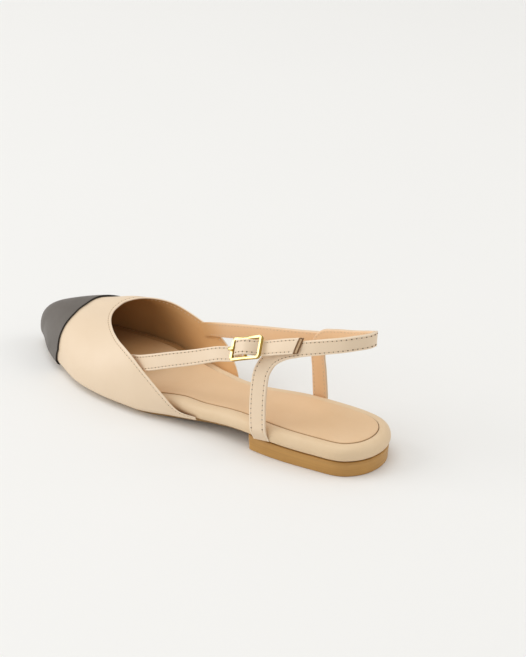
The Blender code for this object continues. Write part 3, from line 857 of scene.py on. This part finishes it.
upper_leather = leather("beige upper leather", UPPER_DYE, 30.0, 1500.0, 0.03, (0.36, 0.48))
lining_leather = leather("tan lining leather", LINING_DYE, 35.0, 1700.0, 0.03, (0.55, 0.7), 0.2)
bm = shaped_grid(VAMP_COLUMNS, len(vamp_lines) - 1, vamp_place, vamp_edge_and_groove, vamp_finish)
bmesh.ops.remove_doubles(bm, verts=bm.verts, dist=1e-6)
bmesh.ops.holes_fill(bm, edges=[edge for edge in bm.edges if edge.is_boundary], sides=0)
vamp = make_piece("lasted_vamp", close_shell(bm), upper_leather, lining_leather, sharp_angle=80)
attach(vamp, "root")
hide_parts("vamp")

# Topline stitches: one fine row of pale linen thread under the fold, pulled down into the leather.
# Each stitch is a plump spindle of thread with a needle hole at its end, which shows only on the face as a
# small dark spheroid of painted shade.
TOPLINE_STITCH = 2.1
TOPLINE_PITCH = 2.6
STITCH_SHARE = 0.62
STITCH_WIDTH = 0.5
STITCH_HEIGHT = 0.36
TOPLINE_HOLE = 0.7
STITCH_SINK = 0.05
HOLE_SINK = 0.06
HOLE_DEPTH = 0.3
SEAM_STEPS = 1200
SEAM_END = 30
THREAD_DYE = plain_dye((0.72, 0.54, 0.365, 1.0), (0.64, 0.46, 0.29, 1.0))
HOLE_SHADE_DYE = plain_dye((0.12, 0.07, 0.035, 1.0), (0.09, 0.05, 0.025, 1.0))


def sew(bm, line, pitch, hole):
    """Sews stitches a pitch apart along a line of (point, out) places in millimetres.

    The needle holes between them, dark spheroids of painted shade, have the given width, or don't show where
    it is 0.
    """
    travelled = last_stitch = 0.0
    for (here, out), (there, _) in zip(line, line[1:]):
        travelled += (there - here).length
        if travelled < last_stitch + pitch:
            continue
        last_stitch = travelled
        along = (there - here).normalized()
        turn = Matrix((along, out.cross(along).normalized(), out)).transposed().to_4x4()
        parts = [(0.0, 0.0, (pitch * STITCH_SHARE, STITCH_WIDTH, STITCH_HEIGHT), 0)]
        if hole:
            parts.append((pitch / 2, HOLE_SINK, (hole, hole, HOLE_DEPTH), 1))
        for shift, sink, size, finish in parts:
            seat = Matrix.Translation(metres(*(here + along * shift - out * sink)))
            shape = seat @ turn @ Matrix.Diagonal((*(length * 0.001 for length in size), 1.0))
            made = bmesh.ops.create_uvsphere(bm, u_segments=8, v_segments=5, radius=0.5, matrix=shape)
            for vert in made["verts"]:
                for face in vert.link_faces:
                    face.material_index = finish


thread = leather("pale linen thread", THREAD_DYE, 700.0, 2600.0, 0.05, (0.6, 0.75))
needle_hole_shade = leather("painted needle-hole shade", HOLE_SHADE_DYE, 300.0, 2000.0, 0.02, (0.85, 0.95))
face_row, lining_row = [], []
for step in range(SEAM_END, SEAM_STEPS - SEAM_END + 1):
    u = step / SEAM_STEPS
    point, _, out = vamp_frame(u, below_topline(u, TOPLINE_STITCH))
    face_row.append((point - out * STITCH_SINK, out))
    lining_row.append((point - out * vamp_wall(u, TOPLINE_STITCH), -out))
bm = bmesh.new()
sew(bm, face_row, TOPLINE_PITCH, TOPLINE_HOLE)
sew(bm, lining_row, TOPLINE_PITCH, 0.0)
topline_stitches = make_piece("topline_stitches", bm, thread, needle_hole_shade)
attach(topline_stitches, "root")

# Toe cap: a separate cap of black calf over the tip of the vamp, lasted and turned in along with it.
# Its rear edge is cut raw across the vamp, stained black, and sits on the beige leather as a fine step.
CAP_THICKNESS = 1.0
CAP_EDGE_ROUND = 0.2
CAP_COLUMNS = 150
CAP_ROWS = 60
CapRow = namedtuple("CapRow", "side station")
CAP_EDGE = (
    CapRow(-60, 190.0),
    CapRow(-36, 207.0),
    CapRow(-28, 213.0),
    CapRow(-16, 220.0),
    CapRow(-6, 222.4),
    CapRow(6, 223.2),
    CapRow(14, 223.9),
    CapRow(19, 223.2),
    CapRow(22, 221.4),
    CapRow(25, 215.8),
    CapRow(60, 170.0),
)
CAP_RIBS = (0.25, 0.75)
MIDDLE_RIB = 0.5
CAP_LOW_EDGE = 0.19
CAP_CORNER_RISE = 0.02
# The cap's colour is dark grey rather than black: painted sheen, for the broad reflection of the bright
# studio on the black calf.
CAP_DYE_WITH_SHEEN = plain_dye((0.130, 0.114, 0.100, 1.0), (0.112, 0.098, 0.086, 1.0))
CUT_EDGE_DYE = plain_dye((0.020, 0.017, 0.015, 1.0), (0.014, 0.012, 0.011, 1.0))


def ahead_of_cap_edge(u, v):
    point = vamp_point(u, v)
    return point.x - smooth([row.side for row in CAP_EDGE], [row.station for row in CAP_EDGE], point.y)


@cache
def cap_top(u):
    """The v at which the cap's rear edge crosses a rib of the vamp."""
    return seek(CAP_LOW_EDGE, 1.0, lambda v: ahead_of_cap_edge(u, v) > 0)


# The ribs at which the cap's rear edge comes down to its low edge, on the inner and the outer side
cap_corner = CAP_LOW_EDGE + CAP_CORNER_RISE
cap_ends = [seek(MIDDLE_RIB, rib, lambda u: ahead_of_cap_edge(u, cap_corner) > 0) for rib in CAP_RIBS]


def cap_place(u, v):
    rib = cap_ends[0] + (cap_ends[1] - cap_ends[0]) * u
    point, _, out = vamp_frame(rib, CAP_LOW_EDGE + (cap_top(rib) - CAP_LOW_EDGE) * v)
    return metres(*(point + out * GAP))


black_calf_with_sheen = leather("black cap leather", CAP_DYE_WITH_SHEEN, 60.0, 1300.0, 0.03, (0.40, 0.52))
cut_edge = leather("black cut edge", CUT_EDGE_DYE, 60.0, 1300.0, 0.03, (0.7, 0.85))
bm = shaped_grid(CAP_COLUMNS, CAP_ROWS, cap_place)
cap = make_piece("black_toe_cap", bm, black_calf_with_sheen, cut_edge, sharp_angle=70)
cap_wall = cap.modifiers.new("wall", "SOLIDIFY")
cap_wall.thickness, cap_wall.offset = CAP_THICKNESS * 0.001, 1.0
cap_wall.material_offset_rim = 1
round_edges(cap, CAP_EDGE_ROUND, 2)
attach(cap, "root")
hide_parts("toe_cap")

# Straps: beige calf folded over a tan lining, sewn along both edges, so each edge is full and rounded with a
# groove between face and lining. The sling is one curved cut, lasted in under the rim; the two front straps
# are pared thin and sewn into the vamp, and the outer one ends in a slanting raw cut behind the buckle.
STRAP_THICKNESS = 2.0
STRAP_PITCH = 2.6
STRAP_HOLE = 0.95
STITCH_PLACE = 0.71
STITCH_SEAT = 0.9
SEWN_IN_REACH = 1.5
PARED_END = 0.18
PathRow = namedtuple("PathRow", "station side height facing lean width")
SLING = (
    PathRow(60.4, 29.9, 9.9, 90, 0, 11.0),
    PathRow(60.9, 30.7, 13.2, 90, 0, 11.0),
    PathRow(61.4, 30.8, 16.0, 90, 0, 11.0),
    PathRow(62.4, 29.9, 20.0, 90, 2, 11.0),
    PathRow(64.4, 27.0, 33.0, 90, 10, 10.8),
    PathRow(65.4, 23.2, 46.0, 91, 20, 10.4),
    PathRow(62.6, 19.8, 54.2, 93, 27, 9.6),
    PathRow(55.6, 18.9, 60.4, 96, 28, 8.9),
    PathRow(45.6, 17.6, 65.2, 99, 24, 8.6),
    PathRow(30.0, 15.2, 70.6, 106, 8, 8.5),
    PathRow(14.6, 9.8, 75.0, 133, 3, 8.5),
    PathRow(8.2, 0.0, 75.6, 180, 3, 8.5),
    PathRow(13.6, -8.8, 71.2, 222, 3, 8.5),
    PathRow(30.0, -15.4, 64.4, 254, 4, 8.5),
    PathRow(44.6, -18.0, 60.0, 261, 6, 8.6),
    PathRow(52.4, -19.2, 57.0, 265, 8, 8.8),
    PathRow(57.2, -20.4, 51.6, 268, 8, 9.0),
    PathRow(59.0, -21.6, 45.0, 269, 6, 9.2),
    PathRow(59.2, -23.2, 33.0, 272, 3, 9.4),
    PathRow(58.8, -23.8, 20.0, 276, 0, 9.4),
    PathRow(58.4, -23.8, 14.5, 276, 0, 9.4),
    PathRow(58.2, -23.6, 10.0, 276, 0, 9.4),
)
OUTER_STRAP = (
    PathRow(161.0, 24.4, 25.3, 66, 14, 9.6),
    PathRow(150.0, 27.3, 29.2, 76, 18, 9.6),
    PathRow(140.0, 28.0, 33.2, 87, 20, 9.5),
    PathRow(128.0, 27.0, 37.8, 96, 24, 9.3),
    PathRow(112.0, 24.6, 43.4, 96, 29, 9.0),
    PathRow(97.0, 22.3, 49.1, 93, 34, 8.8),
    PathRow(82.8, 19.8, 53.6, 90, 39, 8.7),
    PathRow(80.7, 24.7, 58.8, 90, 39, 8.7),
    PathRow(75.8, 25.1, 61.1, 90, 39, 8.7),
    PathRow(65.8, 20.5, 61.2, 90, 38, 8.7),
    PathRow(58.0, 20.5, 64.0, 93, 34, 8.7),
    PathRow(50.4, 20.0, 66.7, 97, 30, 8.7),
    PathRow(43.2, 19.2, 68.9, 100, 27, 8.7),
)
INNER_STRAP = (
    PathRow(150.0, -28.4, 29.6, 272, 0, 9.2),
    PathRow(140.0, -27.4, 33.0, 266, 0, 9.2),
    PathRow(124.0, -25.8, 37.4, 262, 0, 9.2),
    PathRow(100.0, -23.6, 43.6, 262, 1, 9.0),
    PathRow(80.0, -22.7, 48.2, 263, 4, 8.8),
    PathRow(66.0, -23.1, 51.2, 265, 9, 8.7),
    PathRow(54.0, -22.7, 54.2, 265, 11, 8.7),
)
TIP_SLANT = -4.5
TIP_BEVEL = 1.1
TIP_SHARES = (0.9, 1.0)
TIP_CORE_WIDTH = 0.84
TIP_CORE_THICKNESS = 1.0
TIP_CORE_DEPTH = 0.3
STRAP_LINING_DYE = Dye(
    (0.86, 0.575, 0.335, 1.0), (0.83, 0.545, 0.305, 1.0), (0.86, 0.63, 0.43, 1.0), (0.74, 0.445, 0.20, 1.0)
)
RAW_DYE = plain_dye((0.24, 0.125, 0.052, 1.0), (0.17, 0.085, 0.034, 1.0))
CORE_DYE = plain_dye((0.66, 0.46, 0.28, 1.0), (0.56, 0.37, 0.20, 1.0))

# Half of a strap's section, from its face round the edge to its lining, in shares of its half sizes
# Its edge shares paint the rounded edges paler, from rubbing and as painted highlight; its groove shares
# darken the stitch channel and the seam between face and lining with dust and painted shade.
SectionRow = namedtuple("SectionRow", "across out edge groove")
HALF_SECTION = (
    SectionRow(0.0, 1.0, 0, 0),
    SectionRow(0.52, 1.0, 0, 0),
    SectionRow(0.64, 0.97, 0, 0.03),
    SectionRow(0.71, 0.87, 0, 0.12),
    SectionRow(0.78, 0.97, 0.3, 0.03),
    SectionRow(0.87, 1.0, 0.9, 0),
    SectionRow(0.945, 0.9, 1, 0),
    SectionRow(0.988, 0.62, 1, 0),
    SectionRow(1.0, 0.25, 0.8, 0),
    SectionRow(0.975, -0.08, 0.2, 0.4),
    SectionRow(0.91, -0.2, 0, 0.9),
    SectionRow(0.955, -0.34, 0.6, 0.4),
    SectionRow(0.975, -0.6, 1, 0),
    SectionRow(0.94, -0.9, 0.8, 0),
    SectionRow(0.86, -1.0, 0.3, 0),
    SectionRow(0.0, -1.0, 0, 0),
)
FIRST_LINING_LINE = 12
FACE_FINISH, LINING_FINISH, RAW_FINISH, CORE_FINISH = range(4)
Strap = namedtuple("Strap", "name node rows columns front_paring rear_paring kept_face slanting sewn")
STRAPS = (
    Strap("sling_band", "sling_strap", SLING, 260, 0.035, 0.035, -1, False, (0.02, 0.98)),
    Strap("outer_front_strap", "front_strap_lateral", OUTER_STRAP, 190, 0.09, None, 1, True, (0.03, 0.985)),
    Strap("inner_front_strap", "front_strap_medial", INNER_STRAP, 110, 0.17, None, 1, False, (0.05, 0.985)),
)


@cache
def strap_knots(rows):
    """Distances of a strap's rows along it."""
    knots = [0.0]
    for before, after in zip(rows, rows[1:]):
        knots.append(knots[-1] + math.dist(before[:3], after[:3]))
    return knots


@cache
def strap_frame(rows, u):
    """Place on a strap's middle line, its directions along, across and out of its face, and its width."""
    knots = strap_knots(rows)

    def column(name, distance):
        return smooth(knots, [getattr(row, name) for row in rows], distance)

    def middle(distance):
        return Vector([column(name, distance) for name in ("station", "side", "height")])

    distance = u * knots[-1]
    bearing, lean = (math.radians(column(name, distance)) for name in ("facing", "lean"))
    face = Vector((math.cos(bearing) * math.cos(lean), math.sin(bearing) * math.cos(lean), math.sin(lean)))
    along = (middle(min(distance + 0.2, knots[-1])) - middle(max(distance - 0.2, 0))).normalized()
    across = along.cross(face).normalized()
    return middle(distance), along, across, across.cross(along), column("width", distance)


def strap_point(strap, u, across_share, out_share):
    """Point of a strap's section, which is pared down to its kept face towards an end that is sewn in."""
    centre, along, across, out, width = strap_frame(strap.rows, u)
    pared = 0.0
    for length, from_end in ((strap.front_paring, u), (strap.rear_paring, 1 - u)):
        if length:
            pared = max(pared, 1 - ramp((0, length), from_end))
    height = strap.kept_face + (out_share - strap.kept_face) * (1 - (1 - PARED_END) * pared)
    slant = 0.0
    if strap.slanting:
        slant = ramp(TIP_SHARES, u) * (TIP_SLANT * across_share / 2 - TIP_BEVEL * out_share)
    return centre + across * across_share * width / 2 + along * slant + out * height * STRAP_THICKNESS / 2


strap_leather = leather("beige strap leather", UPPER_DYE, 45.0, 1500.0, 0.035, (0.38, 0.5))
strap_lining = leather("tan strap lining", STRAP_LINING_DYE, 35.0, 1700.0, 0.03, (0.5, 0.65))
raw_leather = leather("raw strap end", RAW_DYE, 900.0, 1800.0, 0.08, (0.65, 0.8))
core_leather = leather("strap core", CORE_DYE, 900.0, 1800.0, 0.08, (0.65, 0.8))
strap_finishes = (strap_leather, strap_lining, raw_leather, core_leather)
mirrored = [row._replace(across=-row.across) for row in reversed(HALF_SECTION[1:-1])]
strap_section = [*HALF_SECTION, *mirrored, HALF_SECTION[0]]
section_steps = len(strap_section) - 1
last_lining_line = section_steps - FIRST_LINING_LINE
for strap in STRAPS:
    def place(u, v):
        line = strap_section[round(v * section_steps)]
        return metres(*strap_point(strap, u, line.across, line.out))

    def edge_and_groove(u, v):
        line = strap_section[round(v * section_steps)]
        # Where a strap is sewn in, its lining takes on the tone of the vamp's lining there, with its painted
        # throat shade
        sewn_in = 1 - ramp((0, SEWN_IN_REACH * strap.front_paring), u) if line.out < 0 else 0.0
        return line.edge * (1 - sewn_in), max(line.groove, sewn_in)

    def finish(u, v):
        lining = FIRST_LINING_LINE <= int(v * section_steps) < last_lining_line
        return LINING_FINISH if lining else FACE_FINISH

    bm = shaped_grid(strap.columns, section_steps, place, edge_and_groove, finish)
    bmesh.ops.remove_doubles(bm, verts=bm.verts, dist=1e-6)
    ends = bmesh.ops.holes_fill(bm, edges=[edge for edge in bm.edges if edge.is_boundary], sides=0)
    for face in ends["faces"]:
        at_tip = strap.slanting and face.calc_center_median().x < 0
        face.material_index = RAW_FINISH if at_tip else LINING_FINISH
    close_shell(bm)
    if strap.slanting:
        low, high = (strap_point(strap, 1.0, share * TIP_CORE_WIDTH, 0.0) for share in (1.0, -1.0))
        edgewise = (high - low).normalized()
        through = strap_point(strap, 1.0, 0.0, 1.0) - strap_point(strap, 1.0, 0.0, -1.0)
        outwards = edgewise.cross(through).normalized()
        turn = Matrix((edgewise, outwards.cross(edgewise), outwards)).transposed().to_4x4()
        size = Vector(((high - low).length, TIP_CORE_THICKNESS, TIP_CORE_DEPTH)) * 0.001
        seat = Matrix.Translation(metres(*((low + high) / 2))) @ turn @ Matrix.Diagonal((*size, 1.0))
        core = bmesh.ops.create_cube(bm, size=1.0, matrix=seat)
        for vert in core["verts"]:
            for face in vert.link_faces:
                face.material_index = CORE_FINISH
    band = make_piece(strap.name, bm, *strap_finishes, sharp_angle=60)
    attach(band, "root")
    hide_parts(strap.node)

    bm = bmesh.new()
    first, last = strap.sewn
    for across_share in (-STITCH_PLACE, STITCH_PLACE):
        for out_share, hole in ((STITCH_SEAT, STRAP_HOLE), (-1.0, 0.0)):
            line = []
            for step in range(SEAM_STEPS + 1):
                u = first + (last - first) * step / SEAM_STEPS
                out = strap_frame(strap.rows, u)[3]
                line.append((strap_point(strap, u, across_share, out_share), out if out_share > 0 else -out))
            sew(bm, line, STRAP_PITCH, hole)
    stitches = make_piece(f"{strap.name}_stitches", bm, thread, needle_hole_shade)
    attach(stitches, "root")

# Buckle: a cast and polished gilt frame of square bar with a centre bar, which the outer strap goes over.
# Its prong is bent round the centre bar, comes up through a hole and rests on the front bar.
BUCKLE_CENTRE = (75.4, 23.0, 59.4)
BUCKLE_SLOPE = 21.6
BUCKLE_LEAN = 39.5
BUCKLE_LENGTH = 21.6
BUCKLE_HEIGHT = 13.2
BUCKLE_BAR = 1.5
BUCKLE_DEPTH = 2.0
BUCKLE_ROUND = 0.35
BUCKLE_CORNER_ROUND = 1.6
PRONG_LENGTH = 4.2
PRONG_WIDTH = 1.7
PRONG_DEPTH = 1.3
PRONG_OVERHANG = 1.2
PRONG_ROUND = 0.45
SIDE_NORMAL = 0.3
SHARP_FOLD = 0.5
GILT = (0.92, 0.76, 0.36, 1.0)
GILT_DEEP = (0.84, 0.64, 0.25, 1.0)
# Painted shade: the bars' sides take a darker gilt, for the dark reflections they show.
PAINTED_SHADE_GILT = (0.50, 0.38, 0.12, 1.0)
PAINTED_SHADE_GILT_DEEP = (0.36, 0.26, 0.07, 1.0)


def gilding(name, colour, deep, gloss):
    """Gilt metal; gloss is its least and greatest roughness."""
    made, tree, shader = new_material(name)
    shader.inputs["Metallic"].default_value = 1.0
    tone = add_node(
        tree, "Group", {"Colour": colour, "Deep Colour": deep, "Patch Scale": 220.0}, node_tree=dyed
    )
    at = add_node(tree, "TexCoord", {}).outputs["Object"]
    scratches = add_node(tree, "TexNoise", {"Vector": at, "Scale": 1800.0, "Detail": 3.0}).outputs["Fac"]
    polish = add_node(tree, "MapRange", {"Value": scratches, "To Min": gloss[0], "To Max": gloss[1]})
    relief = add_node(tree, "Bump", {"Height": scratches, "Strength": 0.15, "Distance": 0.00005})
    tree.links.new(tone.outputs["Colour"], shader.inputs["Base Color"])
    tree.links.new(polish.outputs["Result"], shader.inputs["Roughness"])
    tree.links.new(relief.outputs["Normal"], shader.inputs["Normal"])
    return made


gilt = gilding("polished gilt", GILT, GILT_DEEP, (0.15, 0.3))
shaded_gilt = gilding("dull gilt with painted shade", PAINTED_SHADE_GILT, PAINTED_SHADE_GILT_DEEP, (0.3, 0.45))
buckle_seat = Matrix.Translation(metres(*BUCKLE_CENTRE))
for angle, axis in ((BUCKLE_SLOPE, "Y"), (BUCKLE_LEAN - 90, "X")):
    buckle_seat = buckle_seat @ Matrix.Rotation(math.radians(angle), 4, axis)
buckle_seat = buckle_seat @ Matrix.Scale(0.001, 4)
half_length, half_height, half_bar = BUCKLE_LENGTH / 2, BUCKLE_HEIGHT / 2, BUCKLE_BAR / 2
lengthwise = (-half_length, BUCKLE_BAR - half_length, -half_bar)
lengthwise += tuple(-x for x in reversed(lengthwise))
upright = (-half_height, BUCKLE_BAR - half_height)
upright += tuple(-y for y in reversed(upright))


def frame_corner(u, v):
    x, y = lengthwise[round(u * (len(lengthwise) - 1))], upright[round(v * (len(upright) - 1))]
    return Vector((x, y, -BUCKLE_DEPTH / 2))


def gild(name, bm, node):
    """Seats a piece of the buckle, made in the buckle's own axes, and gilds it, with duller gilt on its
    sides that is painted darker as shade.
    """
    bmesh.ops.recalc_face_normals(bm, faces=bm.faces)
    for face in bm.faces:
        face.material_index = 1 if abs(face.normal.z) < SIDE_NORMAL else 0
    bmesh.ops.transform(bm, matrix=buckle_seat, verts=bm.verts)
    piece = make_piece(name, bm, gilt, shaded_gilt)
    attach(piece, "root")
    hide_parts(node)


bm = shaped_grid(len(lengthwise) - 1, len(upright) - 1, frame_corner)
windows = sorted(bm.faces, key=lambda face: face.calc_area())[-2:]
bmesh.ops.delete(bm, geom=windows, context="FACES")
raised = bmesh.ops.extrude_face_region(bm, geom=bm.faces[:])
front = [item for item in raised["geom"] if isinstance(item, bmesh.types.BMVert)]
bmesh.ops.translate(bm, verts=front, vec=(0, 0, BUCKLE_DEPTH))
bmesh.ops.recalc_face_normals(bm, faces=bm.faces)
corner_reach = half_length + half_height - 1e-4
frame_corners = [
    edge
    for edge in bm.edges
    if all(abs(vert.co.x) + abs(vert.co.y) > corner_reach for vert in edge.verts)
]
bevel_edges(bm, frame_corners, BUCKLE_CORNER_ROUND, 5)
sharp_edges = [edge for edge in bm.edges if edge.calc_face_angle(0) > SHARP_FOLD]
bevel_edges(bm, sharp_edges, BUCKLE_ROUND, 3)
gild("gilt_buckle_frame", bm, "buckle_frame")

bm = bmesh.new()
bmesh.ops.create_cube(bm, size=1.0)
bmesh.ops.scale(bm, verts=bm.verts, vec=(PRONG_LENGTH, PRONG_WIDTH, PRONG_DEPTH))
bevel_edges(bm, bm.edges[:], PRONG_ROUND, 3)
prong_middle = half_length + PRONG_OVERHANG - PRONG_LENGTH / 2
prong_rise = (BUCKLE_DEPTH + PRONG_DEPTH) / 2 + GAP
bmesh.ops.translate(bm, verts=bm.verts, vec=(prong_middle, 0, prong_rise))
gild("gilt_buckle_prong", bm, "buckle_prong")
